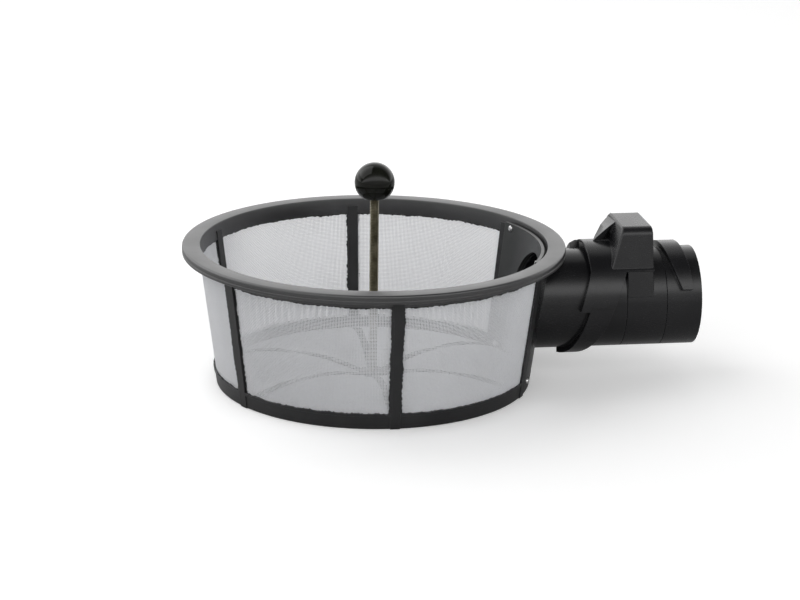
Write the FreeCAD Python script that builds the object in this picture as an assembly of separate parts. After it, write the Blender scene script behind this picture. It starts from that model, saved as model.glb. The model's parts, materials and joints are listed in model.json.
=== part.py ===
"""Round mesh strainer basket with a side outlet, a bayonet coupling and a tail pipe.

Millimetres.  The origin is the centre of the hub's underside, on the plane that the base
ring stands on.  +Z runs up the basket's axis and the lifting rod, +X runs out along the pipe.
Around the pipe, an angle of 0 is the crown and positive angles turn towards -Y.
Along the pipe, a station is a distance from the spigot's open end, positive away from the basket.
"""
import FreeCAD, Part
import math
import os

V = FreeCAD.Vector

# ---------------------------------------------------------------- driving dimensions
# basket
base_radius = 99.4          # outside of the wall at the base plane
wall_draft = 0.1317         # growth of the wall's radius per millimetre of height
wall = 2.4                  # wall thickness, measured radially
rim_overhang = 8.85         # flange beyond the wall at the rim
flange_thickness = 2.2
lip_depth = 5.5             # down-turned edge of the flange
lip_wall = 2.2
rim_round = 1.5             # rounding of the rim's outer top edge
band_depth = 10.2           # solid band below the rim, down to the top of the mesh
base_ring_height = 9.5
base_ring_round = 0.8
rib_count = 6
rib_width_base = 6.0
rib_width_top = 6.8
rib_proud_outside = 0.5     # rib beyond the wall's outer face
rib_proud_inside = 0.6      # rib beyond the wall's inner face
rib_top_drop = 4.6          # rib's top end below the rim plane
mesh_thickness = 0.5

# arched floor and its hub
hub_radius = 9.0
hub_height = 4.0
floor_edge_height = 1.9     # mid-line of the floor at the base ring
floor_hub_height = 2.2      # mid-line of the floor at the hub
floor_crown_height = 9.3    # mid-line of the floor halfway
spoke_width = 4.6
spoke_thickness = 2.0
hub_nut_across_flats = 10.0
hub_nut_height = 2.4
hub_skin = 0.9              # plastic below the moulded-in nut

# lifting rod and ball knob
rod_radius = 2.9
rod_length = 127.6
ball_radius = 12.5
ball_flat_drop = 10.0       # centre of the ball to its flat underside
rod_in_ball = 11.1          # rod's end above the flat underside
bush_radius = 4.5
bush_cover = 1.9            # bush beyond the rod's end

# side outlet
pipe_radius = 31.5          # outside of spigot, collar sleeve and tail pipe
spigot_wall = 2.6
spigot_above_base = 17.3    # base plane to the underside of the spigot
spigot_below_rim = 8.9      # rim plane to the crown of the spigot
spigot_length = 50.8        # from the wall's outer face, at the height of the pipe's axis
plate_half_angle = 27.5     # inner clamp plate, either side of the pipe
plate_thickness = 2.0
plate_top_drop = 2.5
plate_bottom = 5.0
gasket_thickness = 1.7
gasket_inset_angle = 1.5
plate_hole_clearance = 0.4
rivet_angle = 23.9
rivet_radius = 1.6
rivet_head_radius = 2.0
rivet_head_height = 1.2
rivet_top_drop = 5.4
rivet_bottom_height = 7.2

# bayonet ribs and coupling collar
rib_height = 3.6            # bayonet rib above the spigot or pipe
helix_rate = 0.175          # axial travel per degree of turn
bayonet_start = 50.5        # angle at which the front rib begins
front_rib_end = 172.0
rear_rib_end = 82.0         # the rear rib begins half a turn on and is shorter
rib_head_width = 16.0       # width of the bayonet rib where it begins
rib_head_inset = 1.6        # right edge of the rib's head behind the spigot's end
rib_tail_width = 7.6        # and after front_rib_end
claw_cover = 1.6            # thickness of the claw over the rib
claw_gap = 0.3              # clearance between claw and rib
hook_thickness = 5.9        # lip that hooks behind the rib
claw_left_rate = 0.1886     # slant of the claw's left edge, station per degree
claw_right_rate = 0.235     # slant of its right edge
claw_start = 49.0
claw_end = 85.0
hook_end = 88.9
claw_root_span = 34.0       # solid root of a claw, before its start
collar_gap = 0.4            # axial gap at either end of the sleeve
sleeve_length = 25.3
band_station = -23.1        # left edge of the collar's raised band
root_station = 17.5         # right edge of the collar's raised band and of the lug
foot_station = -28.2        # left edge of the stop foot behind the lug
foot_slope = 3.4            # length of its sloping left flank
foot_start = -48.0
foot_end = -24.0

# thumb lug on the collar
lug_height = 18.9           # top of the lug above the pipe's surface
lug_top_station = -1.9
lug_lean = 0.33             # lean of the lug's left wall
lug_side_inset = 10.7       # pipe radius less the lug's half width at its top
lug_side_lean = 0.237       # the side faces end all but tangent to the sleeve
lug_foot_height = 8.0       # foot of the lug's side faces above the pipe's axis
lug_shoulder_round = 6.0    # between the lug's top and its side faces
lug_round = 1.4
wing_tip_station = -17.1
wing_rear_station = -13.1
wing_wall = 2.0
wing_bulge = 1.4
wing_pocket_depth = 8.0

# tail pipe
nose_station = -34.0
journal_clearance = 0.4     # nose and journal inside spigot and sleeve
journal_wall = 3.0
tail_length = 22.3          # full-size part of the pipe, beyond the collar
tail_wall = 3.0
bore_taper = 6.0            # length of the cone between the two bores
o_ring_section = 2.35
o_ring_squeeze_gap = 0.05   # o-ring to spigot bore
o_ring_stations = {"o_ring_inner": -26.0, "o_ring_outer": -18.0}
o_ring_groove_width = 3.6
retaining_ring_station = 1.6
retaining_ring_thickness = 1.4
retaining_ring_depth = 1.5
washer_thickness = 1.0
thrust_gap = 0.1
counterbore_wall = 1.0

# tapered rib on the tail pipe: angle, left edge and right edge from the full-size part's start
tail_rib_edges = [
    (-60.0, 0.3, 10.3),
    (-30.0, 0.3, 11.3),
    (0.0, 0.5, 12.3),
    (30.0, 2.7, 13.8),
    (50.0, 5.5, 15.1),
    (69.0, 9.1, 15.7),
]
rear_tail_rib_from = 3      # the rear rib keeps only these last sections

# ---------------------------------------------------------------- derived sizes
port_height = spigot_above_base + pipe_radius
basket_height = spigot_above_base + 2 * pipe_radius + spigot_below_rim
band_bottom = basket_height - band_depth


def wall_radius(height, inset=0.0):
    """Outside radius of the tapered wall at a height, less an inset."""
    return base_radius + wall_draft * height - inset


rim_radius = wall_radius(basket_height) + rim_overhang
spigot_end = wall_radius(port_height) + spigot_length
spigot_bore = pipe_radius - spigot_wall
bayonet_radius = pipe_radius + rib_height
claw_inner = bayonet_radius + claw_gap
claw_outer = claw_inner + claw_cover
journal_radius = spigot_bore - journal_clearance
nose_bore = journal_radius - journal_wall
tail_bore = pipe_radius - tail_wall
sleeve_end = collar_gap + sleeve_length
tail_start = sleeve_end + collar_gap
plate_inset = wall + gasket_thickness
ball_centre = hub_skin + rod_length - rod_in_ball + ball_flat_drop
FULL_TURN = 360.0
EMBED = 1.0                 # depth to which a joined feature is sunk into its neighbour
REACH = 300.0               # longer than anything in the object


# ---------------------------------------------------------------- helpers
def turned(points, start=0.0, angle=FULL_TURN):
    """Solid of revolution about +Z from (radius, height) corners."""
    wire = Part.makePolygon([V(r, 0, z) for r, z in points + points[:1]])
    solid = Part.Face(wire).revolve(V(0, 0, 0), V(0, 0, 1), angle)
    solid.rotate(V(0, 0, 0), V(0, 0, 1), start)
    return solid


def wall_shell(inner_inset, outer_inset, bottom, top, half_angle=None):
    """Part of the tapered wall between two insets, all round or about the pipe's direction."""
    points = [
        (wall_radius(bottom, inner_inset), bottom),
        (wall_radius(bottom, outer_inset), bottom),
        (wall_radius(top, outer_inset), top),
        (wall_radius(top, inner_inset), top),
    ]
    if half_angle is None:
        return turned(points)
    return turned(points, -half_angle, 2 * half_angle)


def around_pipe(points, start=0.0, angle=FULL_TURN):
    """Solid of revolution about the pipe's axis from (station, radius) corners."""
    corners = [V(spigot_end + s, 0, port_height + r) for s, r in points + points[:1]]
    solid = Part.Face(Part.makePolygon(corners)).revolve(V(0, 0, port_height), V(1, 0, 0), angle)
    solid.rotate(V(0, 0, port_height), V(1, 0, 0), start)
    return solid


def section(points, angle):
    """Closed wire of (station, radius) corners, in the half plane at an angle about the pipe."""
    corners = [V(spigot_end + s, 0, port_height + r) for s, r in points + points[:1]]
    wire = Part.makePolygon(corners)
    wire.rotate(V(0, 0, port_height), V(1, 0, 0), angle)
    return wire


def wound(outline, start, end, step=7.0):
    """Solid wound about the pipe: outline(angle) gives the (station, radius) corners there."""
    count = max(2, math.ceil((end - start) / step))
    angles = [start + (end - start) * i / count for i in range(count + 1)]
    return Part.makeLoft([section(outline(a), a) for a in angles], True, False)


def cylinder(radius, bottom, top):
    return Part.makeCylinder(radius, top - bottom, V(0, 0, bottom))


def pipe_cylinder(radius, start, end):
    """Cylinder on the pipe's axis between two distances from the basket's axis."""
    return Part.makeCylinder(radius, end - start, V(start, 0, port_height), V(1, 0, 0))


def blend(fraction, start, end):
    return start + (end - start) * fraction


def bearing(shape, angle):
    """Copy of a shape, turned about the basket's axis."""
    copy = shape.copy()
    copy.rotate(V(0, 0, 0), V(0, 0, 1), angle)
    return copy


def join(shapes):
    return shapes[0].multiFuse(shapes[1:]).removeSplitter()


parts = {}

# ---------------------------------------------------------------- basket frame
rim = turned([
    (wall_radius(basket_height, wall), basket_height),
    (rim_radius, basket_height),
    (rim_radius, basket_height - lip_depth),
    (rim_radius - lip_wall, basket_height - lip_depth),
    (rim_radius - lip_wall, basket_height - flange_thickness),
    (wall_radius(basket_height - flange_thickness), basket_height - flange_thickness),
    (wall_radius(band_bottom), band_bottom),
    (wall_radius(band_bottom, wall), band_bottom),
])
outer_edges = [
    e for e in rim.Edges
    if abs(e.BoundBox.XMax - rim_radius) < 0.01 and abs(e.BoundBox.ZMin - basket_height) < 0.01
    and e.BoundBox.ZLength < 0.01
]
rim = rim.makeFillet(min(rim_round, 0.7 * flange_thickness), outer_edges)


def rib_section(height, width):
    inner = wall_radius(height, wall + rib_proud_inside)
    outer = wall_radius(height) + rib_proud_outside
    corners = [(inner, -width / 2), (outer, -width / 2), (outer, width / 2), (inner, width / 2)]
    return Part.makePolygon([V(x, y, height) for x, y in corners + corners[:1]])


rib = Part.makeLoft(
    [rib_section(0, rib_width_base), rib_section(basket_height - rib_top_drop, rib_width_top)],
    True, True)
rib_pitch = FULL_TURN / rib_count
rib_angles = [rib_pitch * (i + 0.5) for i in range(rib_count)]
base_ring = wall_shell(wall, 0, 0, base_ring_height)
ring_edges = [
    e for e in base_ring.Edges
    if abs(e.BoundBox.XMax - base_radius) < 0.01 and abs(e.BoundBox.ZMax) < 0.01
]
base_ring = base_ring.makeFillet(min(base_ring_round, wall / 2), ring_edges)
rib_cage = join([base_ring] + [bearing(rib, a) for a in rib_angles]).cut(rim)

# ---------------------------------------------------------------- arched floor
floor_edge_radius = wall_radius(floor_edge_height, wall)


def floor_arch(thickness):
    """Arched sheet between hub and base ring, turned about the basket's axis."""
    def arc(offset):
        ends = [
            V(hub_radius - EMBED, 0, floor_hub_height + offset),
            V((hub_radius + floor_edge_radius) / 2, 0, floor_crown_height + offset),
            V(floor_edge_radius + EMBED, 0, floor_edge_height + offset),
        ]
        return Part.Arc(*ends).toShape()
    lower = arc(-thickness / 2)
    upper = arc(thickness / 2)
    sides = [
        Part.makeLine(lower.Vertexes[i].Point, upper.Vertexes[i].Point) for i in (0, 1)
    ]
    face = Part.Face(Part.Wire(Part.__sortEdges__([lower, upper] + sides)))
    return face.revolve(V(0, 0, 0), V(0, 0, 1), FULL_TURN)


inside_ring = turned([
    (0, 0),
    (wall_radius(0, wall), 0),
    (wall_radius(base_ring_height, wall), base_ring_height),
    (0, base_ring_height),
])
spoke_bar = Part.makeBox(REACH, spoke_width, REACH, V(0, -spoke_width / 2, -EMBED))
spoke_bars = join([bearing(spoke_bar, a) for a in rib_angles])
spokes = floor_arch(spoke_thickness).common(spoke_bars).common(inside_ring)
hub_nut_circle = hub_nut_across_flats / math.cos(math.radians(30)) / 2
nut_corners = [
    V(hub_nut_circle * math.cos(math.radians(60 * i)),
      hub_nut_circle * math.sin(math.radians(60 * i)), hub_skin) for i in range(7)
]
hub_nut_block = Part.Face(Part.makePolygon(nut_corners)).extrude(V(0, 0, hub_nut_height))
rod = cylinder(rod_radius, hub_skin, hub_skin + rod_length)
spider = join([cylinder(hub_radius, 0, hub_height), spokes]).cut(rib_cage)
spider = spider.cut(hub_nut_block).cut(rod)
floor_mesh = floor_arch(mesh_thickness).common(inside_ring).cut(spider)
floor_mesh = floor_mesh.cut(rib_cage).cut(cylinder(hub_radius, 0, hub_height))

# ---------------------------------------------------------------- side mesh
mesh_inset = (wall - mesh_thickness) / 2
mesh_wall = wall_shell(mesh_inset + mesh_thickness, mesh_inset, base_ring_height, band_bottom)
window = turned(
    [(base_radius / 2, 0), (REACH, 0), (REACH, basket_height), (base_radius / 2, basket_height)],
    -rib_pitch / 2, rib_pitch)
for number in range(1, rib_count):
    panel = mesh_wall.common(bearing(window, number * rib_pitch)).cut(rib_cage)
    parts["mesh_panel_%d" % number] = panel

# ---------------------------------------------------------------- rod and knob
flat_height = ball_centre - ball_flat_drop
bush = cylinder(bush_radius, flat_height, flat_height + rod_in_ball + bush_cover)
ball = Part.makeSphere(ball_radius, V(0, 0, ball_centre))
ball = ball.common(cylinder(2 * ball_radius, flat_height, ball_centre + 2 * ball_radius))
parts["hub_nut"] = hub_nut_block.cut(rod)
parts["lifting_rod"] = rod
parts["knob_bush"] = bush.cut(rod)
parts["ball_knob"] = ball.cut(bush)

# ---------------------------------------------------------------- outlet and its clamp plate
inside_wall = turned([
    (0, -REACH),
    (wall_radius(-REACH), -REACH),
    (wall_radius(REACH), REACH),
    (0, REACH),
])
saddle = wall_shell(wall, 0, base_ring_height, band_bottom, rib_pitch / 2).cut(rib_cage)
spigot = pipe_cylinder(pipe_radius, base_radius / 2, spigot_end).cut(inside_wall)
bore = pipe_cylinder(spigot_bore, base_radius / 2, spigot_end)


def bayonet_left(angle):
    """Flank of the spigot's rib that the hook pulls on."""
    return -rib_head_width - rib_head_inset - helix_rate * (angle - bayonet_start)


def bayonet_rib(angle):
    left = bayonet_left(angle)
    tail = (angle - bayonet_start) / (front_rib_end - bayonet_start)
    right = left + blend(tail ** 2, rib_head_width, rib_tail_width)
    low = pipe_radius - EMBED
    return [(left, low), (right, low), (right, bayonet_radius), (left, bayonet_radius)]


def half_turn(shape):
    """Copy of a shape, turned half way round the pipe's axis."""
    copy = shape.copy()
    copy.rotate(V(0, 0, port_height), V(1, 0, 0), FULL_TURN / 2)
    return copy


front_rib = wound(bayonet_rib, bayonet_start, front_rib_end)
rear_rib = half_turn(wound(bayonet_rib, bayonet_start, rear_rib_end))
outlet = join([saddle, spigot]).cut(bore)
outlet = outlet.fuse(front_rib.cut(bore)).fuse(rear_rib.cut(bore))

plate_top = basket_height - plate_top_drop
plate_hole = pipe_cylinder(spigot_bore + plate_hole_clearance, 0, spigot_end)
plate = wall_shell(plate_inset + plate_thickness, plate_inset, plate_bottom, plate_top,
                   plate_half_angle).cut(plate_hole)
gasket = wall_shell(plate_inset, wall, plate_bottom, band_bottom + band_depth / 2,
                    plate_half_angle - gasket_inset_angle).cut(plate_hole)

rivets = []
for height in (rivet_bottom_height, basket_height - rivet_top_drop):
    inner = wall_radius(height, plate_inset + plate_thickness) * math.cos(
        math.radians(plate_half_angle - rivet_angle))
    outer = wall_radius(height)
    for side in (-1, 1):
        shank = Part.makeCylinder(rivet_radius, outer - inner + 2 * rivet_head_height,
                                  V(inner - rivet_head_height, 0, height), V(1, 0, 0))
        heads = [
            Part.makeCylinder(rivet_head_radius, rivet_head_height,
                              V(start, 0, height), V(1, 0, 0))
            for start in (inner - rivet_head_height, outer)
        ]
        rivets.append(bearing(join([shank] + heads), side * rivet_angle))
rivet_group = Part.makeCompound(rivets)

parts["floor_spider"] = spider
parts["floor_mesh"] = floor_mesh
parts["rim_ring"] = rim.cut(rivet_group)
parts["rib_cage"] = rib_cage.cut(rivet_group)
parts["outlet_spigot"] = outlet.cut(rivet_group)
parts["clamp_plate"] = plate.cut(rivet_group)
parts["plate_gasket"] = gasket.cut(rib_cage).cut(rivet_group)
parts["plate_rivets"] = rivet_group

# ---------------------------------------------------------------- tail pipe and its seals
groove_floor = journal_radius + journal_clearance - o_ring_squeeze_gap - o_ring_section
tail_end = tail_start + tail_length
tail_pipe = around_pipe([
    (nose_station, nose_bore),
    (tail_start - bore_taper / 2, nose_bore),
    (tail_start + bore_taper / 2, tail_bore),
    (tail_end, tail_bore),
    (tail_end, pipe_radius),
    (tail_start, pipe_radius),
    (tail_start, journal_radius),
    (nose_station, journal_radius),
])
for name, station in o_ring_stations.items():
    half = o_ring_groove_width / 2
    tail_pipe = tail_pipe.cut(around_pipe([
        (station - half, groove_floor),
        (station + half, groove_floor),
        (station + half, journal_radius + EMBED),
        (station - half, journal_radius + EMBED),
    ]))
    parts[name] = Part.makeTorus(groove_floor + o_ring_section / 2, o_ring_section / 2,
                                 V(spigot_end + station, 0, port_height), V(1, 0, 0))

ring_inner = journal_radius - retaining_ring_depth
counterbore = pipe_radius - counterbore_wall
ring_outer = counterbore - claw_gap
ring_end = retaining_ring_station + retaining_ring_thickness
retaining_ring = around_pipe([
    (retaining_ring_station, ring_inner),
    (ring_end, ring_inner),
    (ring_end, ring_outer),
    (retaining_ring_station, ring_outer),
])
washer_start = ring_end + thrust_gap
washer_end = washer_start + washer_thickness
parts["retaining_ring"] = retaining_ring
parts["thrust_washer"] = around_pipe([
    (washer_start, journal_radius),
    (washer_end, journal_radius),
    (washer_end, ring_outer),
    (washer_start, ring_outer),
])


def tail_rib(edges):
    """Tapered rib for the next collar, its edges counted from the full-size part's start."""
    low = pipe_radius - EMBED
    sections = []
    for angle, left, right in edges:
        start, end = tail_start + left, tail_start + right
        corners = [(start, low), (end, low), (end, bayonet_radius), (start, bayonet_radius)]
        sections.append(section(corners, angle))
    return Part.makeLoft(sections, True, False)


tail_pipe = tail_pipe.cut(retaining_ring)
parts["tail_pipe"] = tail_pipe.fuse(tail_rib(tail_rib_edges)).fuse(
    half_turn(tail_rib(tail_rib_edges[rear_tail_rib_from:])))

# ---------------------------------------------------------------- coupling collar
shoulder = washer_end + thrust_gap
sleeve = around_pipe([
    (collar_gap, counterbore),
    (shoulder, counterbore),
    (shoulder, spigot_bore),
    (sleeve_end, spigot_bore),
    (sleeve_end, pipe_radius),
    (collar_gap, pipe_radius),
])


def raised_band(start, end):
    """Band over the end of the spigot, joined to the sleeve."""
    sleeve_side = 2 * collar_gap
    low = counterbore + counterbore_wall / 2
    return around_pipe([
        (band_station, claw_inner),
        (sleeve_side, claw_inner),
        (sleeve_side, low),
        (root_station, low),
        (root_station, claw_outer),
        (band_station, claw_outer),
    ], start, end - start)


def claw_left(angle):
    return bayonet_left(claw_start) - hook_thickness - claw_left_rate * (angle - claw_start)


def claw(angle):
    """L-shaped section: a cover over the rib and a hook behind it."""
    left = claw_left(angle)
    catch = bayonet_left(angle) - claw_gap
    right = -claw_gap - claw_right_rate * (angle - claw_start)
    low = pipe_radius + claw_gap
    return [(left, low), (catch, low), (catch, claw_inner),
            (right, claw_inner), (right, claw_outer), (left, claw_outer)]


def hook(angle):
    left = claw_left(angle)
    catch = bayonet_left(angle) - claw_gap
    low = pipe_radius + claw_gap
    return [(left, low), (catch, low), (catch, claw_outer), (left, claw_outer)]


def claw_arm():
    return [wound(claw, claw_start, claw_end), wound(hook, claw_end, hook_end)]


# thumb lug: a block across the pipe with leaning walls and a hollow wing at its left rear
lug_top = pipe_radius + lug_height
lug_half_width = pipe_radius - lug_side_inset


def lug_outline(height):
    drop = port_height + lug_top - height
    left = spigot_end + lug_top_station - lug_lean * drop
    right = spigot_end + root_station
    side = lug_half_width + lug_side_lean * drop
    corners = [(left, -side), (right, -side), (right, side), (left, side)]
    return Part.makePolygon([V(x, y, height) for x, y in corners + corners[:1]])


lug = Part.makeLoft(
    [lug_outline(port_height + lug_foot_height), lug_outline(port_height + lug_top)], True, True)
shoulders = [
    e for e in lug.Edges
    if e.BoundBox.ZMin > port_height + lug_top - 0.01 and e.BoundBox.YLength < 0.01
]
lug = lug.makeFillet(lug_shoulder_round, shoulders)
end_edges = [
    e for e in lug.Edges
    if e.BoundBox.ZMax > port_height + lug_foot_height + 0.01 and e.BoundBox.YLength > 0.01
]
lug = lug.makeFillet(lug_round, end_edges)
lug_floor = port_height + claw_outer * math.cos(math.radians(claw_start))
spigot_side = Part.makeBox(REACH, 2 * REACH, lug_floor,
                           V(spigot_end + 2 * collar_gap - REACH, -REACH, 0))
lug = lug.cut(spigot_side)


def wing_outline(tip, top, low, y, bulge):
    """Section of the wing across the pipe: its back swells out by a bulge between tip and top."""
    high = lug_top + port_height - 0.2
    corners = [(tip, low)]
    for share in (0.25, 0.6):
        swell = bulge * math.sin(math.pi * share)
        corners.append((blend(share, tip, top) - swell, blend(share, low, high) + swell))
    corners += [(top, high), (top, low)]
    return Part.makePolygon([V(spigot_end + s, y, z) for s, z in corners + corners[:1]])


wing_top_station = lug_top_station + EMBED
wing = Part.makeLoft([
    wing_outline(wing_tip_station, wing_top_station, port_height + claw_outer - 0.5, 0, 0.3),
    wing_outline(wing_rear_station, wing_top_station, port_height + 0.75 * claw_outer,
                 lug_half_width - lug_round, wing_bulge),
], True, True)
pocket_low = port_height + claw_outer + 0.6
pocket = Part.Face(Part.makePolygon([
    V(spigot_end + wing_tip_station + 3.2 * wing_wall, -EMBED, pocket_low),
    V(spigot_end + lug_top_station - 1.5 * wing_wall, -EMBED, pocket_low),
    V(spigot_end + lug_top_station - 1.5 * wing_wall, -EMBED,
      port_height + lug_top - 2.2 * wing_wall),
    V(spigot_end + wing_tip_station + 3.2 * wing_wall, -EMBED, pocket_low),
])).extrude(V(0, wing_pocket_depth + EMBED, 0))
wing = wing.cut(pocket)

foot = around_pipe([
    (foot_station, pipe_radius + claw_gap),
    (band_station + EMBED, pipe_radius + claw_gap),
    (band_station + EMBED, claw_outer),
    (foot_station + foot_slope, claw_outer),
    (foot_station, claw_inner),
], foot_start, foot_end - foot_start)

under_claws = around_pipe([
    (-REACH / 2, 0),
    (collar_gap, 0),
    (collar_gap, claw_inner),
    (-REACH / 2, claw_inner),
])
inside_sleeve = pipe_cylinder(counterbore + counterbore_wall / 2, spigot_end,
                              spigot_end + REACH / 2)
top_band = raised_band(foot_start, claw_start)
upper = join([top_band, lug, wing]).cut(under_claws).cut(inside_sleeve)
rear_band = half_turn(raised_band(claw_start - claw_root_span, claw_start))
collar = join([sleeve, upper, rear_band, foot] + claw_arm()
              + [half_turn(s) for s in claw_arm()])
parts["coupling_collar"] = collar

# ---------------------------------------------------------------- write the sub-parts
os.makedirs("parts", exist_ok=True)
for name, shape in parts.items():
    shape.exportStep("parts/%s.step" % name)
    box = shape.BoundBox
    print("%-16s solids %d valid %s volume %.1f  x %.1f..%.1f y %.1f..%.1f z %.1f..%.1f" % (
        name, len(shape.Solids), shape.isValid(), shape.Volume,
        box.XMin, box.XMax, box.YMin, box.YMax, box.ZMin, box.ZMax))
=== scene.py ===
# %% [markdown]
# # A round strainer basket with a bayonet outlet
#
# The object is a tapered basket of fine woven mesh in a black moulded frame. A threaded rod with a
# ball knob stands in its middle, and a side outlet is locked to a tail pipe by a collar with a thumb lug.
#
# The imported model gives every size and place. It is loaded first, and its parts are kept, so that sizes
# can be read off their boxes. Blender works in metres here, in the same frame: +Z up the basket's axis,
# +X out along the pipe.

# %% Load the frame
import json
import math
import random

import bmesh
import bpy
from mathutils import Matrix, Vector


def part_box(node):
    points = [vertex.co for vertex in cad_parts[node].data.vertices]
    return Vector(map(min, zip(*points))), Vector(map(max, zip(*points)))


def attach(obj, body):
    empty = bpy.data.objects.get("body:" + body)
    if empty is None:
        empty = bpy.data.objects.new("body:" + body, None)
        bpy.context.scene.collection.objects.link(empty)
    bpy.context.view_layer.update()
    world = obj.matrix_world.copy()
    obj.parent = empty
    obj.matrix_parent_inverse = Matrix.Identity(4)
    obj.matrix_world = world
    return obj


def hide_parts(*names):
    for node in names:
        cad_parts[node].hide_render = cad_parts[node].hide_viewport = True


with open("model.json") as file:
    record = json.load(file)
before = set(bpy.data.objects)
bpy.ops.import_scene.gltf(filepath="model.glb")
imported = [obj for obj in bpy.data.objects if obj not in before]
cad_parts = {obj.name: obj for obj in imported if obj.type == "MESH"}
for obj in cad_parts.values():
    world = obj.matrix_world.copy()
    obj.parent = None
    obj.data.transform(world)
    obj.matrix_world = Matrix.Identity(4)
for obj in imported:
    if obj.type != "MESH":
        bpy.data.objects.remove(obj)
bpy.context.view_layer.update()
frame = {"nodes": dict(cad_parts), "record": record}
nodes = frame["nodes"]

# %% [markdown]
# ## The camera
#
# A long lens from about a metre and a half keeps the basket's ellipses calm. The camera looks down at
# 17 degrees, enough to see the inside of the rim and the floor through the mesh, and it is rolled by
# less than a degree, as a hand-held shot is.

# %% Camera
MM = 0.001
CAMERA_PLACE = Vector((-194.65, -1423.25, 483.15)) * MM
CAMERA_TARGET = Vector((16.5, -2.45, 51.1)) * MM
CAMERA_ROLL = math.radians(0.714)
CAMERA_LENS = 106.9

camera = bpy.data.objects.new("camera", bpy.data.cameras.new("camera"))
bpy.context.collection.objects.link(camera)
camera.data.lens = CAMERA_LENS
camera.data.sensor_width = 36.0
camera.location = CAMERA_PLACE
look = (CAMERA_TARGET - CAMERA_PLACE).to_track_quat("-Z", "Y")
camera.rotation_euler = (look.to_matrix() @ Matrix.Rotation(CAMERA_ROLL, 3, "Z")).to_euler()
bpy.context.scene.camera = camera
bpy.context.scene.view_settings.view_transform = "Standard"
print("camera at", [round(v, 3) for v in camera.location])

# %% [markdown]
# ## The light
#
# Black satin plastic shows its form only by what it reflects, so the whole sky is one tent of light with
# bands of its own. A bright band in front draws the long grey streak along the pipe, a band low behind
# turns the flat top of the rim grey, and the space overhead stays dim, which gives the dark streak
# between the two. One broad soft panel, high on the left and a little behind, casts the soft shadow
# towards the viewer's right.

# %% Studio light
SKY_BRIGHTNESS = 2.0
KEY_PLACE = (-1.3, 0.5, 1.7)
KEY_TARGET = (0.04, 0.0, 0.05)
KEY_SIZE = 2.4
KEY_WATTS = 25.0
# Around the pipe's axis, from the front horizon at 0 over the top to the back horizon at 180 degrees.
SKY_STOPS = [
    (0, 0.32), (18, 0.36), (27, 1.1), (40, 1.15), (48, 0.5), (56, 0.18), (65, 0.08), (76, 0.04),
    (102, 0.04), (116, 0.28), (128, 0.36), (142, 0.55), (156, 0.70), (180, 0.74),
]


def studio_sky():
    """A soft tent of light: bright in front from 15 to 45 degrees, dim overhead, even behind."""
    world = bpy.data.worlds.new("studio")
    bpy.context.scene.world = world
    world.use_nodes = True
    tree = world.node_tree
    direction = tree.nodes.new("ShaderNodeTexCoord").outputs["Generated"]
    split = tree.nodes.new("ShaderNodeSeparateXYZ")
    tree.links.new(direction, split.inputs["Vector"])
    forward = tree.nodes.new("ShaderNodeMath")
    forward.operation = "MULTIPLY"
    forward.inputs[1].default_value = -1.0
    tree.links.new(split.outputs["Y"], forward.inputs[0])
    around = tree.nodes.new("ShaderNodeMath")
    around.operation = "ARCTAN2"
    tree.links.new(split.outputs["Z"], around.inputs[0])
    tree.links.new(forward.outputs["Value"], around.inputs[1])
    share = tree.nodes.new("ShaderNodeMath")
    share.operation = "DIVIDE"
    share.inputs[1].default_value = math.pi
    tree.links.new(around.outputs["Value"], share.inputs[0])
    ramp = tree.nodes.new("ShaderNodeValToRGB")
    elements = ramp.color_ramp.elements
    while len(elements) < len(SKY_STOPS):
        elements.new(0.5)
    for element, (degrees, level) in zip(elements, SKY_STOPS):
        element.position = degrees / 180.0
        element.color = (level, level, level, 1.0)
    tree.links.new(share.outputs["Value"], ramp.inputs["Fac"])
    tree.links.new(ramp.outputs["Color"], tree.nodes["Background"].inputs["Color"])
    tree.nodes["Background"].inputs["Strength"].default_value = SKY_BRIGHTNESS


def softbox(name, place, target, size, watts):
    """A square area light that points at a target and isn't seen itself."""
    data = bpy.data.lights.new(name, "AREA")
    data.shape = "SQUARE"
    data.size = size
    data.energy = watts
    light = bpy.data.objects.new(name, data)
    light.location = place
    light.rotation_euler = (Vector(target) - Vector(place)).to_track_quat("-Z", "Y").to_euler()
    light.visible_camera = False
    bpy.context.collection.objects.link(light)


studio_sky()
softbox("key_softbox", KEY_PLACE, KEY_TARGET, KEY_SIZE, KEY_WATTS)

# %% [markdown]
# ## The floor
#
# The object stands on a white sweep of paper. A white sheet right under black plastic would fill every
# underside with light, so the floor is paler to the eye than it is to the object's reflections.

# %% Floor
FLOOR_SIZE = 14.0
FLOOR_GAP = 0.0002
FLOOR_SHADE_REFLECTED = 0.52
FLOOR_SHADE_SEEN = 0.94
FLOOR_GLOW_SEEN = 0.2


def floor_material():
    """Paper sweep: mid grey to the object's reflections, near white to the eye."""
    material = bpy.data.materials.new("pale_floor")
    material.use_nodes = True
    tree = material.node_tree
    shader = tree.nodes["Principled BSDF"]
    shader.inputs["Roughness"].default_value = 0.9
    shader.inputs["Specular IOR Level"].default_value = 0.0
    shader.inputs["Emission Color"].default_value = (1.0, 1.0, 1.0, 1.0)
    seen = tree.nodes.new("ShaderNodeLightPath").outputs["Is Camera Ray"]
    for socket, hidden, visible in (
        ("Base Color", FLOOR_SHADE_REFLECTED, FLOOR_SHADE_SEEN),
        ("Emission Strength", 0.0, FLOOR_GLOW_SEEN),
    ):
        level = tree.nodes.new("ShaderNodeMapRange")
        level.inputs["To Min"].default_value = hidden
        level.inputs["To Max"].default_value = visible
        tree.links.new(seen, level.inputs["Value"])
        tree.links.new(level.outputs["Result"], shader.inputs[socket])
    return material


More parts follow.
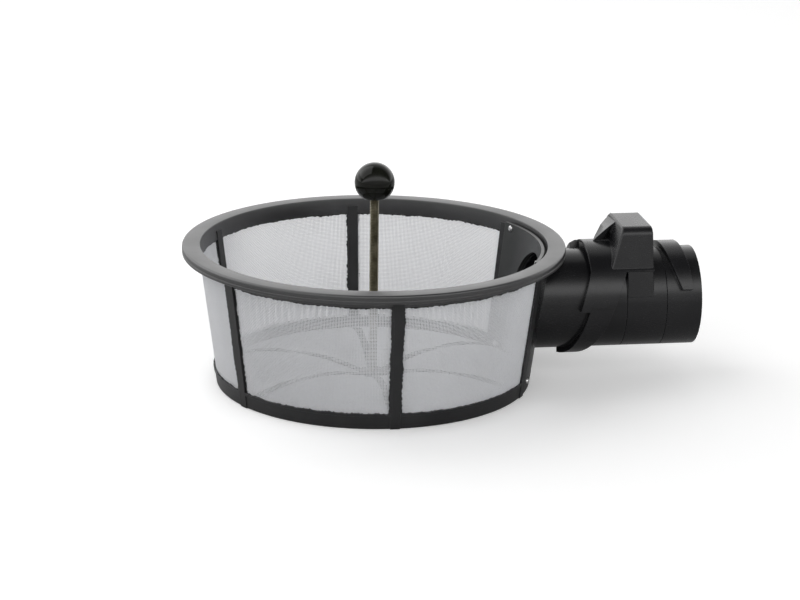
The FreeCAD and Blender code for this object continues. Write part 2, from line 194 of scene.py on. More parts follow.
def new_piece(name, bm, smooth_angle=None):
    """Object at the origin from a bmesh, with its flat and smooth edges told apart by angle."""
    mesh = bpy.data.meshes.new(name)
    bm.to_mesh(mesh)
    bm.free()
    if smooth_angle is not None:
        mesh.shade_smooth()
        mesh.set_sharp_from_angle(angle=math.radians(smooth_angle))
    piece = bpy.data.objects.new(name, mesh)
    bpy.context.collection.objects.link(piece)
    return piece


bm = bmesh.new()
bmesh.ops.create_grid(bm, x_segments=1, y_segments=1, size=FLOOR_SIZE / 2)
floor = new_piece("floor", bm)
floor.data.transform(Matrix.Translation((0, 0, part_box("rib_cage")[0].z - FLOOR_GAP)))
floor.data.materials.append(floor_material())
print("floor", FLOOR_SIZE, "m across")

# %% [markdown]
# ## Finishes
#
# Every finish is made of nodes that read Object coordinates, so that it stays put on its piece. A small
# helper adds nodes and links, so each finish below reads as a short recipe: colour, then roughness, then
# the surface's fine relief.

# %% Node helpers
class Recipe:
    """A material being put together node by node."""

    def __init__(self, name):
        self.material = bpy.data.materials.new(name)
        self.material.use_nodes = True
        self.tree = self.material.node_tree
        self.shader = self.tree.nodes["Principled BSDF"]
        self.place = self.add("ShaderNodeTexCoord").outputs["Object"]

    def add(self, kind, **settings):
        node = self.tree.nodes.new(kind)
        for key, value in settings.items():
            setattr(node, key, value)
        return node

    def link(self, source, target):
        self.tree.links.new(source, target)

    def noise(self, size, detail=3.0, stretch=None, roughness=0.55):
        """Noise whose features are about size metres across; stretch draws it out along an axis."""
        node = self.add("ShaderNodeTexNoise")
        node.inputs["Scale"].default_value = 1.0 / size
        node.inputs["Detail"].default_value = detail
        node.inputs["Roughness"].default_value = roughness
        place = self.place
        if stretch:
            mapping = self.add("ShaderNodeMapping")
            mapping.inputs["Scale"].default_value = stretch
            self.link(self.place, mapping.inputs["Vector"])
            place = mapping.outputs["Vector"]
        self.link(place, node.inputs["Vector"])
        return node.outputs["Fac"]

    def spread(self, value, low, high, start=0.3, end=0.7):
        """The value between start and end, mapped onto low to high."""
        node = self.add("ShaderNodeMapRange")
        for socket, number in zip(("From Min", "From Max", "To Min", "To Max"),
                                  (start, end, low, high)):
            node.inputs[socket].default_value = number
        self.link(value, node.inputs["Value"])
        return node.outputs["Result"]

    def maths(self, operation, first, second):
        node = self.add("ShaderNodeMath", operation=operation)
        for socket, value in zip(node.inputs, (first, second)):
            if isinstance(value, (int, float)):
                socket.default_value = value
            else:
                self.link(value, socket)
        return node.outputs["Value"]

    def ramp(self, value, *stops):
        """Colour ramp of (position, colour) stops."""
        node = self.add("ShaderNodeValToRGB")
        elements = node.color_ramp.elements
        while len(elements) < len(stops):
            elements.new(0.5)
        for element, (position, colour) in zip(elements, stops):
            element.position = position
            element.color = (*colour, 1.0)
        self.link(value, node.inputs["Fac"])
        return node.outputs["Color"]

    def mix(self, share, first, second):
        node = self.add("ShaderNodeMix", data_type="RGBA")
        self.link(share, node.inputs["Factor"])
        self.link(first, node.inputs[6])
        self.link(second, node.inputs[7])
        return node.outputs[2]

    def rounded(self, radius):
        """Normals as if every sharp edge had a small radius."""
        node = self.add("ShaderNodeBevel", samples=6)
        node.inputs["Radius"].default_value = radius
        return node.outputs["Normal"]

    def edges(self, rounded_normal):
        """Near 1 where an edge is rounded, 0 on the open surface."""
        true_normal = self.add("ShaderNodeNewGeometry").outputs["Normal"]
        node = self.add("ShaderNodeVectorMath", operation="DOT_PRODUCT")
        self.link(rounded_normal, node.inputs[0])
        self.link(true_normal, node.inputs[1])
        return self.spread(node.outputs["Value"], 1.0, 0.0, 0.86, 0.995)

    def relief(self, height, depth, normal=None, strength=1.0):
        """Bump of a height between 0 and 1, depth metres deep."""
        node = self.add("ShaderNodeBump")
        node.inputs["Strength"].default_value = strength
        node.inputs["Distance"].default_value = depth
        self.link(height, node.inputs["Height"])
        if normal is not None:
            self.link(normal, node.inputs["Normal"])
        return node.outputs["Normal"]

    def put(self, **sockets):
        """Sets the shader's sockets, to numbers or to links."""
        for name, value in sockets.items():
            socket = self.shader.inputs[name.replace("_", " ")]
            if isinstance(value, (int, float, tuple)):
                socket.default_value = value
            else:
                self.link(value, socket)


print("node helpers ready")

# %% [markdown]
# ### Black moulded plastic
#
# Polypropylene and ABS mouldings are near black, with a satin skin that came off a polished steel tool.
# Up close the skin is never even: faint flow patches, a fine grain, hairline scratches from handling,
# and edges that are rubbed a shade paler. The pipe work is glossier than the basket's frame, and the rim
# is shinier from handling. The rim is also painted a paler black than the frame: painted light, for the
# grey that light gives its flat top. So one recipe takes a few numbers and gives all four blacks.

# %% Black plastic
def black_plastic(name, dark, light, smoothest, roughest, grain, edge_radius, waviness=0.00006,
                  shine=0.5):
    """Moulded black: grain and edge_radius are sizes in metres, shine is the strength of reflections."""
    r = Recipe(name)
    patches = r.noise(0.028, 4.0)
    fine = r.noise(grain, 2.0)
    scratches = r.noise(0.0022, 3.0, stretch=(1.0, 14.0, 3.0), roughness=0.7)
    edge_normal = r.rounded(edge_radius)
    rub = r.maths("MULTIPLY", r.edges(edge_normal), r.spread(r.noise(0.006), 0.25, 1.0))
    body = r.ramp(patches, (0.35, dark), (0.68, light))
    worn = r.ramp(fine, (0.3, tuple(3.2 * v for v in light)), (0.7, tuple(4.4 * v for v in light)))
    uneven = r.spread(patches, smoothest, roughest)
    scuffed = r.maths("ADD", uneven, r.spread(scratches, 0.0, 0.10, 0.56, 0.72))
    relief = r.relief(r.noise(0.016, 2.0), waviness, edge_normal)
    relief = r.relief(fine, 0.000005, relief)
    relief = r.relief(scratches, 0.000006, relief, 0.6)
    r.put(Base_Color=r.mix(rub, body, worn), Roughness=scuffed, Normal=relief,
          Specular_IOR_Level=shine)
    return r.material


frame_black = black_plastic(
    "frame_black", dark=(0.010, 0.010, 0.011), light=(0.017, 0.017, 0.018),
    smoothest=0.34, roughest=0.44, grain=0.0005, edge_radius=0.00035)
# The rim's black is paler than the frame's: painted light, standing in for the grey that light gives the
# rim's flat top.
rim_black_painted_light = black_plastic(
    "rim_black_painted_light", dark=(0.018, 0.018, 0.019), light=(0.027, 0.027, 0.028),
    smoothest=0.30, roughest=0.38, grain=0.0005, edge_radius=0.00035, shine=0.95)
pipe_black = black_plastic(
    "pipe_black", dark=(0.007, 0.007, 0.008), light=(0.012, 0.012, 0.013),
    smoothest=0.19, roughest=0.28, grain=0.0005, edge_radius=0.00045, shine=0.42)
plate_black = black_plastic(
    "plate_black", dark=(0.020, 0.021, 0.021), light=(0.032, 0.033, 0.033),
    smoothest=0.26, roughest=0.36, grain=0.0005, edge_radius=0.0003, waviness=0.00012)
print("plastics", [m.name for m in (frame_black, rim_black_painted_light, pipe_black, plate_black)])

# %% [markdown]
# ### Mesh, metals, rubber and the knob
#
# The mesh is woven from pale grey nylon monofilament, which passes some light, so part of its shader is
# translucent. The rod is steel with a yellow passivated skin, the knob is polished thermoset with the
# faint swirls of a cloth, and the small parts inside have plain turned, ground or moulded skins.

# %% Other finishes
def mesh_thread():
    """Pale monofilament: slightly translucent, with dust caught here and there."""
    r = Recipe("mesh_thread")
    dust = r.noise(0.021, 4.0)
    strands = r.noise(0.0014, 2.0)
    r.put(Base_Color=r.mix(r.spread(dust, 0.0, 1.0),
                           r.ramp(strands, (0.3, (0.88, 0.885, 0.90)), (0.7, (0.94, 0.945, 0.955))),
                           r.ramp(strands, (0.3, (0.82, 0.825, 0.835)), (0.7, (0.90, 0.905, 0.915)))),
          Roughness=r.spread(strands, 0.38, 0.55), Normal=r.relief(strands, 0.00002))
    glow = r.add("ShaderNodeBsdfTranslucent")
    glow.inputs["Color"].default_value = (0.94, 0.945, 0.96, 1.0)
    both = r.add("ShaderNodeMixShader")
    both.inputs["Fac"].default_value = 0.5
    output = r.tree.nodes["Material Output"]
    r.link(r.shader.outputs["BSDF"], both.inputs[1])
    r.link(glow.outputs["BSDF"], both.inputs[2])
    r.link(both.outputs["Shader"], output.inputs["Surface"])
    return r.material


def metal(name, dark, light, smoothest, roughest, stretch, edge_radius=0.0001):
    """Machined metal: tool marks drawn out across the part's axis, and duller patches."""
    r = Recipe(name)
    marks = r.noise(0.0009, 3.0, stretch=stretch)
    tarnish = r.noise(0.007, 4.0)
    normal = r.rounded(edge_radius)
    r.put(Base_Color=r.ramp(tarnish, (0.35, dark), (0.65, light)), Metallic=1.0,
          Roughness=r.maths("ADD", r.spread(marks, 0.0, 0.12), r.spread(tarnish, smoothest, roughest)),
          Normal=r.relief(marks, 0.000012, normal))
    return r.material


def polished_black():
    """Polished thermoset: glossy, with a hint of green in the black and faint wipe marks."""
    r = Recipe("polished_black")
    swirl = r.noise(0.004, 4.0, stretch=(1.0, 1.0, 3.0))
    r.put(Base_Color=r.ramp(r.noise(0.011), (0.3, (0.004, 0.004, 0.003)), (0.7, (0.009, 0.010, 0.007))),
          Roughness=r.spread(swirl, 0.06, 0.13), Normal=r.relief(r.noise(0.009, 2.0), 0.00002),
          Coat_Weight=0.08, Coat_Roughness=0.05, Specular_IOR_Level=0.2)
    return r.material


def soft_rubber():
    r = Recipe("soft_rubber")
    bloom = r.noise(0.003, 4.0)
    r.put(Base_Color=r.ramp(bloom, (0.35, (0.012, 0.012, 0.012)), (0.7, (0.028, 0.028, 0.027))),
          Roughness=r.spread(bloom, 0.62, 0.82), Normal=r.relief(r.noise(0.0006), 0.00002))
    return r.material


def white_acetal():
    r = Recipe("white_acetal")
    cloud = r.noise(0.005, 3.0)
    r.put(Base_Color=r.ramp(cloud, (0.3, (0.74, 0.73, 0.69)), (0.7, (0.82, 0.81, 0.78))),
          Roughness=r.spread(cloud, 0.32, 0.46), Subsurface_Weight=0.15, Subsurface_Scale=0.002,
          Normal=r.relief(r.noise(0.0005), 0.00001, r.rounded(0.0002)))
    return r.material


thread = mesh_thread()
finishes = {
    "black_plastic": frame_black,
    "mesh": thread,
    "rubber": soft_rubber(),
    "white_plastic": white_acetal(),
    "spring_steel": metal("spring_steel", (0.36, 0.36, 0.37), (0.55, 0.55, 0.56), 0.22, 0.34, (1, 8, 8)),
    "rivet_metal": metal("rivet_metal", (0.62, 0.62, 0.62), (0.86, 0.86, 0.85), 0.18, 0.32, (1, 5, 5)),
    "brass": metal("brass", (0.52, 0.36, 0.13), (0.74, 0.55, 0.24), 0.20, 0.34, (1, 1, 9)),
    "rod_metal": metal("rod_metal", (0.12, 0.11, 0.07), (0.24, 0.22, 0.16), 0.28, 0.42, (1, 1, 9)),
    "gloss_black": polished_black(),
}
pipe_nodes = ("outlet_spigot", "coupling_collar", "tail_pipe")
slot_of = {row["node"]: row["material_slot"] for row in frame["record"]["subparts"]}
for name, node in nodes.items():
    finish = finishes[slot_of[name]]
    if name in pipe_nodes:
        finish = pipe_black
    elif name == "clamp_plate":
        finish = plate_black
    for material_slot in node.material_slots:
        material_slot.material = finish
print("finished", len(nodes), "CAD nodes")

# %% [markdown]
# ## Shared shapes
#
# Most round parts here are turned: a half outline is spun once about an axis, its first and last edges
# are merged, and its normals are made to point outwards. An outline is given as straight points and
# arcs in millimetres, because that is how the real tool drawing would give it.

# %% Turned shapes
BASE_RADIUS = 99.4
WALL_DRAFT = 0.1317
WALL = 2.4
RIB_COUNT = 6
RIB_PITCH = 360.0 / RIB_COUNT
RIB_WIDTH_BASE = 6.0
RIB_WIDTH_TOP = 6.8
RIM_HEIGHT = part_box("rim_ring")[1].z / MM
RIM_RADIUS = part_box("rim_ring")[1].x / MM
BAND_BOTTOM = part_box("rim_ring")[0].z / MM
RING_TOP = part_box("mesh_panel_3")[0].z / MM
NEAR_POLE = 89.9


def wall_radius(height, inset=0.0):
    """Outside radius of the basket's wall at a height, less an inset, in millimetres."""
    return BASE_RADIUS + WALL_DRAFT * height - inset


def arc(centre, radius, start, end, steps):
    """Points of an arc, from one angle to another in degrees."""
    angles = [math.radians(start + (end - start) * i / steps) for i in range(steps + 1)]
    return [(centre[0] + radius * math.cos(a), centre[1] + radius * math.sin(a)) for a in angles]


def turned(outline, steps, closed=True):
    """bmesh of a half outline of (radius, height) in millimetres, spun about +Z."""
    bm = bmesh.new()
    verts = [bm.verts.new((x * MM, 0, z * MM)) for x, z in outline]
    pairs = list(zip(verts, verts[1:]))
    if closed:
        pairs.append((verts[-1], verts[0]))
    edges = [bm.edges.new(pair) for pair in pairs]
    bmesh.ops.spin(bm, geom=verts + edges, cent=(0, 0, 0), axis=(0, 0, 1), angle=math.tau,
                   steps=steps, use_merge=True)
    bmesh.ops.remove_doubles(bm, verts=bm.verts, dist=1e-6)
    bmesh.ops.recalc_face_normals(bm, faces=bm.faces)
    return bm


def stand_in(piece, body, finish, slot, *cad_nodes):
    """Gives a new piece its finish and its body, and hides the CAD nodes that it stands for."""
    piece.data.materials.clear()
    piece.data.materials.append(finish)
    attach(piece, body)
    if cad_nodes:
        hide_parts(*cad_nodes)
    print(piece.name, len(piece.data.polygons), "faces")
    return piece


print("wall radius at the rim", round(wall_radius(RIM_HEIGHT), 2), "mm")

# %% [markdown]
# ## The rim
#
# The rim is a flat flange with a down-turned lip and a solid band below it. On the real part every
# corner has a moulding radius, the lip carries a shallow groove, and those are what catch the light, so
# the rim is turned again with them instead of being left with the frame's sharp corners.

# %% Rim
FLANGE_THICKNESS = 2.2
LIP_THICKNESS = 2.2
LIP_DEPTH = 5.5
OUTER_ROUND = 1.5
FILLET = 0.8
ROOT_FILLET = 0.9
INNER_ROUND = 0.6
LIP_INNER_ROUND = 0.5
BAND_ROUND = 0.4
GROOVE_HEIGHT = 2.2
GROOVE_RADIUS = 0.36
GROOVE_HALF_WIDTH = 0.4
RIM_STEPS = 192
RIM_CREASE_ANGLE = 38


def rim_outline():
    """The rim's section, clockwise from its inner top corner; the lip's groove is a small hollow arc."""
    inner = wall_radius(RIM_HEIGHT, WALL)
    low_inner = wall_radius(BAND_BOTTOM, WALL)
    low_outer = wall_radius(BAND_BOTTOM)
    lip_low = RIM_HEIGHT - LIP_DEPTH
    under = RIM_HEIGHT - FLANGE_THICKNESS
    lip_inner = RIM_RADIUS - LIP_THICKNESS
    lip_face = RIM_RADIUS - 0.02
    groove = lip_low + GROOVE_HEIGHT
    root = wall_radius(under)
    return (
        arc((inner + INNER_ROUND, RIM_HEIGHT - INNER_ROUND), INNER_ROUND, 180, 90, 4)
        + arc((RIM_RADIUS - OUTER_ROUND, RIM_HEIGHT - OUTER_ROUND), OUTER_ROUND, 90, 0, 7)
        + [(lip_face, groove + GROOVE_HALF_WIDTH)]
        + arc((RIM_RADIUS + 0.1, groove), GROOVE_RADIUS, 100, 260, 5)
        + [(lip_face, groove - GROOVE_HALF_WIDTH)]
        + arc((RIM_RADIUS - FILLET, lip_low + FILLET), FILLET, 0, -90, 5)
        + arc((lip_inner + LIP_INNER_ROUND, lip_low + LIP_INNER_ROUND), LIP_INNER_ROUND, -90, -180, 3)
        + arc((lip_inner - FILLET, under - FILLET), FILLET, 0, 90, 4)
        + arc((root + ROOT_FILLET, under - ROOT_FILLET), ROOT_FILLET, 90, 180, 4)
        + arc((low_outer - BAND_ROUND, BAND_BOTTOM + BAND_ROUND), BAND_ROUND, 0, -90, 3)
        + arc((low_inner + BAND_ROUND, BAND_BOTTOM + BAND_ROUND), BAND_ROUND, -90, -180, 3)
    )


rim = new_piece("rim", turned(rim_outline(), RIM_STEPS), RIM_CREASE_ANGLE)
stand_in(rim, "basket", rim_black_painted_light, "black_plastic", "rim_ring")

# %% [markdown]
# ## The woven mesh
#
# The mesh is a plain weave at nine tenths of a millimetre: each upright thread passes over and under the
# threads that run round. A texture could fake it from far away, but then the threads would have no
# thickness at the rim and no light would pass between them. Here every thread is a thin square-sided
# tube along a curve with one point at each crossing, and the curve object's own bevel makes the tubes.
# Looms are not perfect, so each thread drifts from its place by a few hundredths of a millimetre.

# %% Threads
PITCH = 0.9
THREAD_RADIUS = 0.23
CRIMP = 0.18
DRIFT = 0.05
EMBEDDED = 1.2
rng = random.Random(7)


def threads(name, runs):
    """Mesh of square-sided tubes along lists of points, in millimetres."""
    curve = bpy.data.curves.new(name, "CURVE")
    curve.dimensions = "3D"
    curve.bevel_depth = THREAD_RADIUS * MM
    curve.bevel_resolution = 0
    curve.use_fill_caps = True
    for run in runs:
        spline = curve.splines.new("POLY")
        spline.points.add(len(run) - 1)
        spline.points.foreach_set("co", [c for p in run for c in (p[0] * MM, p[1] * MM, p[2] * MM, 1.0)])
    holder = bpy.data.objects.new(name + "_path", curve)
    bpy.context.collection.objects.link(holder)
    mesh = bpy.data.meshes.new_from_object(holder)
    bpy.data.objects.remove(holder)
    bpy.data.curves.remove(curve)
    mesh.name = name
    mesh.shade_smooth()
    piece = bpy.data.objects.new(name, mesh)
    bpy.context.collection.objects.link(piece)
    return piece


def steps_between(start, end, pitch):
    """Even steps from start to end, as near to the pitch as a whole number of them allows."""
    count = max(2, round((end - start) / pitch))
    return [start + (end - start) * i / count for i in range(count + 1)]


def drifted(values, amount):
    """The values, each moved at random by up to an amount."""
    return [v + rng.uniform(-amount, amount) for v in values]


def on_wall(angle, height, lift=0.0):
    """Point on the middle of the wall's thickness, lifted outwards, in millimetres."""
    radius = wall_radius(height, WALL / 2) + lift
    return (radius * math.cos(angle), radius * math.sin(angle), height)


def side_weave(number):
    """One window's threads: uprights first, then the ones that run round."""
    half = math.radians(RIB_PITCH / 2) - (RIB_WIDTH_BASE / 2 - EMBEDDED) / BASE_RADIUS
    middle = math.radians(number * RIB_PITCH)
    mid_radius = wall_radius((RING_TOP + BAND_BOTTOM) / 2, WALL / 2)
    angles = steps_between(middle - half, middle + half, PITCH / mid_radius)
    heights = steps_between(RING_TOP - EMBEDDED, BAND_BOTTOM + EMBEDDED, PITCH)
    runs = []
    for i, angle in enumerate(drifted(angles, DRIFT / mid_radius)):
        runs.append([on_wall(angle, z, CRIMP * (-1) ** (i + j)) for j, z in enumerate(heights)])
    for j, height in enumerate(drifted(heights, DRIFT)):
        runs.append([on_wall(a, height, -CRIMP * (-1) ** (i + j)) for i, a in enumerate(angles)])
    return threads("side_weave_%d" % number, runs)


for number in range(1, RIB_COUNT):
    stand_in(side_weave(number), "basket", thread, "mesh", "mesh_panel_%d" % number)

# %% [markdown]
# ## The floor's mesh
#
# The floor is one flat cloth that the mould pulls over an arch, so its threads run straight across all
# six sectors. Each sector is a piece of its own here, and its threads end inside the spokes, the hub
# and the base ring, where the plastic would hold them.

# %% Floor weave
HUB_RADIUS = 9.0
SPOKE_HALF_WIDTH = 2.3
FLOOR_HUB_HEIGHT = 2.2
FLOOR_CROWN_HEIGHT = 9.3
FLOOR_EDGE_HEIGHT = 1.9
FLOOR_EDGE_RADIUS = wall_radius(FLOOR_EDGE_HEIGHT, WALL)
HUB_OVERLAP = 0.8
RING_OVERLAP = 0.6
ARCH_OVERLAP = 1.0


def circle_through(a, b, c):
    """Centre and radius of the circle through three points."""
    d = 2 * (a[0] * (b[1] - c[1]) + b[0] * (c[1] - a[1]) + c[0] * (a[1] - b[1]))
    squares = [p[0] ** 2 + p[1] ** 2 for p in (a, b, c)]
    x = (squares[0] * (b[1] - c[1]) + squares[1] * (c[1] - a[1]) + squares[2] * (a[1] - b[1])) / d
    y = (squares[0] * (c[0] - b[0]) + squares[1] * (a[0] - c[0]) + squares[2] * (b[0] - a[0])) / d
    return (x, y), math.dist((x, y), a)


arch_centre, arch_radius = circle_through(
    (HUB_RADIUS - ARCH_OVERLAP, FLOOR_HUB_HEIGHT),
    ((HUB_RADIUS + FLOOR_EDGE_RADIUS) / 2, FLOOR_CROWN_HEIGHT),
    (FLOOR_EDGE_RADIUS + ARCH_OVERLAP, FLOOR_EDGE_HEIGHT))


def floor_height(radius):
    """Height of the arched floor at a distance from the basket's axis."""
    return arch_centre[1] + math.sqrt(arch_radius ** 2 - (radius - arch_centre[0]) ** 2)


def in_sector(x, y, number):
    """Whether a point of the floor lies in a sector, or just inside the plastic that bounds it."""
    radius = math.hypot(x, y)
    if not HUB_RADIUS - HUB_OVERLAP < radius < FLOOR_EDGE_RADIUS + RING_OVERLAP:
        return False
    turn = math.degrees(math.atan2(y, x)) - number * RIB_PITCH
    turn = math.radians((turn + 180.0) % 360.0 - 180.0)
    spoke = math.radians(RIB_PITCH / 2)
    if abs(turn) > spoke:
        return radius * math.sin(abs(turn) - spoke) < -SPOKE_HALF_WIDTH + EMBEDDED
    return radius * math.sin(spoke - abs(turn)) > SPOKE_HALF_WIDTH - EMBEDDED


def floor_weave(number):
    """One sector's threads: each lane is cut into the runs that lie inside the sector."""
    reach = int(FLOOR_EDGE_RADIUS / PITCH) + 1
    lanes = range(-reach, reach + 1)
    runs = []
    for along_x in (True, False):
        side = 1 if along_x else -1
        for i in lanes:
            offset = rng.uniform(-DRIFT, DRIFT)
            run = []
            for j in lanes:
                x, y = (j * PITCH, i * PITCH + offset) if along_x else (i * PITCH + offset, j * PITCH)
                if in_sector(x, y, number):
                    height = floor_height(math.hypot(x, y)) + side * CRIMP * (-1) ** (i + j)
                    run.append((x, y, height))
                elif run:
                    runs.append(run)
                    run = []
            if run:
                runs.append(run)
    return threads("floor_weave_%d" % number, [run for run in runs if len(run) > 1])


for number in range(RIB_COUNT):
    stand_in(floor_weave(number), "basket", thread, "mesh", "floor_mesh")

# %% [markdown]
# ## Plastic that crept into the mesh
#
# The frame is moulded round the mesh, and the melt creeps a thread or two past the edge of the tool.
# That is why the ribs look wavy and the band's lower edge looks nibbled. A thin strip follows each edge
# of each window, and its free edge steps in and out a thread at a time.

# %% Window edges
STRIP_STEP = 0.5
STRIP_THICKNESS = 1.15
STEPS_PER_WAVE = 12
LEAST_CREEP = 0.15
WAVE_CREEP = 0.75
THREAD_CREEPS = (0.0, 0.1, 0.3, 0.5)
STRIP_OVERLAP = 0.5
CREASE_ANGLE = 30

def creep(count):
    """How far the plastic has crept at each step along an edge, in millimetres."""
    slow = [rng.uniform(0.0, 1.0) for _ in range(count // STEPS_PER_WAVE + 3)]
    widths = []
    for i in range(count + 1):
        if i % 2 == 0:
            cell = rng.choice(THREAD_CREEPS)
        wave, step = divmod(i, STEPS_PER_WAVE)
        share = step / STEPS_PER_WAVE
        share = share * share * (3 - 2 * share)
        base = slow[wave] * (1 - share) + slow[wave + 1] * share
        widths.append(LEAST_CREEP + WAVE_CREEP * base + cell)
    return widths


def edge_strip(bm, start, end, place):
    """Adds one strip: place(along, across) gives the point on the wall; across 0 is the window's edge."""
    count = round((end - start) / STRIP_STEP)
    widths = creep(count)
    part = bmesh.new()
    bmesh.ops.create_grid(part, x_segments=count, y_segments=1, size=1.0)
    for vert in part.verts:
        i = round((vert.co.x + 1) / 2 * count)
        across = widths[i] if vert.co.y > 0 else -1.0
        vert.co = Vector(place(start + (end - start) * i / count, across)) * MM
    bmesh.ops.recalc_face_normals(part, faces=part.faces)
    bmesh.ops.solidify(part, geom=part.faces[:], thickness=STRIP_THICKNESS * MM)
    bmesh.ops.recalc_face_normals(part, faces=part.faces)
    mesh = bpy.data.meshes.new("strip")
    part.to_mesh(mesh)
    part.free()
    bm.from_mesh(mesh)
    bpy.data.meshes.remove(mesh)


def rib_half_width(height):
    return (RIB_WIDTH_BASE + (RIB_WIDTH_TOP - RIB_WIDTH_BASE) * height / RIM_HEIGHT) / 2


def window_edge(number):
    middle = math.radians(number * RIB_PITCH)
    half = math.radians(RIB_PITCH / 2)
    lift = STRIP_THICKNESS / 2
    bm = bmesh.new()
    for side in (-1, 1):
        def beside_rib(height, across, side=side):
            turn = (rib_half_width(height) + across) / wall_radius(height, WALL / 2)
            return on_wall(middle + side * (half - turn), height, lift)
        edge_strip(bm, RING_TOP - STRIP_OVERLAP, BAND_BOTTOM + STRIP_OVERLAP, beside_rib)
    for height, direction in ((RING_TOP, 1), (BAND_BOTTOM, -1)):
        radius = wall_radius(height, WALL / 2)
        reach = half * radius - rib_half_width(height)

        def along_ring(along, across, height=height, direction=direction, radius=radius):
            return on_wall(middle + along / radius, height + direction * across, lift)
        edge_strip(bm, -reach, reach, along_ring)
    return new_piece("window_edge_%d" % number, bm, CREASE_ANGLE)


for number in range(1, RIB_COUNT):
    stand_in(window_edge(number), "basket", frame_black, "black_plastic")

# %% [markdown]
# ## The threaded rod
#
# The rod is M6 studding. One V of thread is spun about the axis while it climbs a millimetre a turn,
# which is what a die does to the real bar.

# %% Rod
THREAD_PITCH = 1.0
THREAD_DEPTH = 0.5
CREST_START = 0.36
CREST_END = 0.52
FLANK_END = 0.88
THREAD_START = 0.4
STEPS_PER_TURN = 18
rod_low, rod_high = (corner.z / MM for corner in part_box("lifting_rod"))
rod_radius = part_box("lifting_rod")[1].x / MM


def threaded_rod():
    """Threaded rod: one V of thread, spun while it climbs, with both ends closed."""
    root = rod_radius - THREAD_DEPTH
    turns = int(rod_high - rod_low - THREAD_PITCH) - 1
    bm = bmesh.new()
    outline = [
        (root, 0.0), (rod_radius, CREST_START), (rod_radius, CREST_END), (root, FLANK_END),
        (root, THREAD_PITCH),
    ]
    verts = [bm.verts.new((x * MM, 0, (rod_low + THREAD_START + z) * MM)) for x, z in outline]
    edges = [bm.edges.new(pair) for pair in zip(verts, verts[1:])]
    bmesh.ops.spin(bm, geom=verts + edges, cent=(0, 0, 0), axis=(0, 0, 1),
                   dvec=(0, 0, THREAD_PITCH * MM / STEPS_PER_TURN), angle=math.tau * turns,
                   steps=STEPS_PER_TURN * turns, use_merge=False)
    bmesh.ops.remove_doubles(bm, verts=bm.verts, dist=2e-6)
    bmesh.ops.holes_fill(bm, edges=[e for e in bm.edges if e.is_boundary], sides=0)
    bmesh.ops.recalc_face_normals(bm, faces=bm.faces)
    return new_piece("threaded_rod", bm, 45)


stand_in(threaded_rod(), "basket", finishes["rod_metal"], "rod_metal", "lifting_rod")

# %% [markdown]
# ## The ball knob
#
# A thermoset ball is turned all over and has one flat, where the rod goes in. Its outline is one long
# arc with a softened corner at the flat, and a bore for the brass bush.

# %% Knob
ball_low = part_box("ball_knob")[0].z / MM
ball_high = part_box("ball_knob")[1].z / MM
ball_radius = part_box("ball_knob")[1].x / MM
ball_centre = ball_high - ball_radius
bush_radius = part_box("knob_bush")[1].x / MM
bush_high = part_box("knob_bush")[1].z / MM
BORE_CHAMFER = 0.3
FLAT_ROUND = 0.5
FLAT_ROUND_ANGLE = 1.6


def knob_outline():
    """Half outline of the ball, from the bore round to the pole."""
    flat_angle = math.degrees(math.asin((ball_low - ball_centre) / ball_radius))
    flat_radius = ball_radius * math.cos(math.radians(flat_angle))
    return (
        [(bush_radius, bush_high), (bush_radius, ball_low + BORE_CHAMFER)]
        + [(bush_radius + BORE_CHAMFER, ball_low), (flat_radius - FLAT_ROUND, ball_low)]
        + arc((0.0, ball_centre), ball_radius, flat_angle + FLAT_ROUND_ANGLE, NEAR_POLE, 40)
        + [(0.0, ball_high), (0.0, bush_high)]
    )


knob = new_piece("knob", turned(knob_outline(), 96), 40)
stand_in(knob, "basket", finishes["gloss_black"], "gloss_black", "ball_knob")

# %% [markdown]
# ## Rivets
#
# Four blind rivets hold the clamp plate. Their heads are domed, and the inside heads show as bright
# dots on the dark plate, so they are turned with a low dome and laid over each hole.

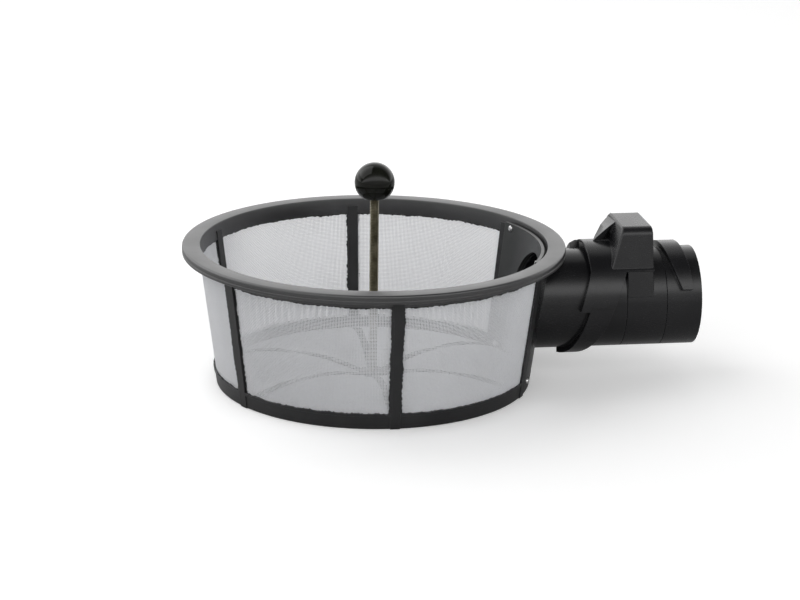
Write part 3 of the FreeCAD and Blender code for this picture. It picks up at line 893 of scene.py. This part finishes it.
# %% Rivets
RIVET_BEARING = 23.9
RIVET_RADIUS = 1.6
HEAD_RADIUS = 2.0
HEAD_HEIGHT = 1.2
DOME_RADIUS = 4.1
DOME_EDGE_INSET = 0.2
DOME_EDGE_ANGLE = 5.0
HEAD_EDGE = 0.25
RIVET_STEPS = 24
PLATE_INSET = 6.1
PLATE_HALF_ANGLE = 27.5
rivet_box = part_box("plate_rivets")
rivet_heights = (rivet_box[0].z / MM + HEAD_RADIUS, rivet_box[1].z / MM - HEAD_RADIUS)


def rivet(inner, outer):
    """One rivet along +Z, from the inside head's seat to the outside head's seat."""
    edge = math.degrees(math.acos((HEAD_RADIUS - DOME_EDGE_INSET) / DOME_RADIUS)) + DOME_EDGE_ANGLE
    top = arc((0.0, outer + HEAD_HEIGHT - DOME_RADIUS), DOME_RADIUS, edge, NEAR_POLE, 8)
    low = [(r, inner - (z - outer)) for r, z in reversed(top)]
    return turned(
        [(0.0, inner - HEAD_HEIGHT)] + low[1:] + [(HEAD_RADIUS, inner - HEAD_EDGE), (HEAD_RADIUS, inner)]
        + [(RIVET_RADIUS, inner), (RIVET_RADIUS, outer)]
        + [(HEAD_RADIUS, outer), (HEAD_RADIUS, outer + HEAD_EDGE)] + top[:-1]
        + [(0.0, outer + HEAD_HEIGHT)], RIVET_STEPS)


def all_rivets():
    """All four rivets in one piece, laid pointing outwards on either side of the pipe."""
    bm = bmesh.new()
    for height in rivet_heights:
        seat_slant = math.radians(PLATE_HALF_ANGLE - RIVET_BEARING)
        inner = wall_radius(height, PLATE_INSET) * math.cos(seat_slant)
        for side in (-1, 1):
            single = rivet(inner, wall_radius(height))
            turn = Matrix.Rotation(math.radians(side * RIVET_BEARING), 4, "Z")
            lay = Matrix.Translation((0, 0, height * MM)) @ Matrix.Rotation(math.pi / 2, 4, "Y")
            bmesh.ops.transform(single, matrix=turn @ lay, verts=single.verts)
            mesh = bpy.data.meshes.new("rivet")
            single.to_mesh(mesh)
            single.free()
            bm.from_mesh(mesh)
            bpy.data.meshes.remove(mesh)
    return new_piece("rivets", bm, 40)


stand_in(all_rivets(), "basket", finishes["rivet_metal"], "rivet_metal", "plate_rivets")
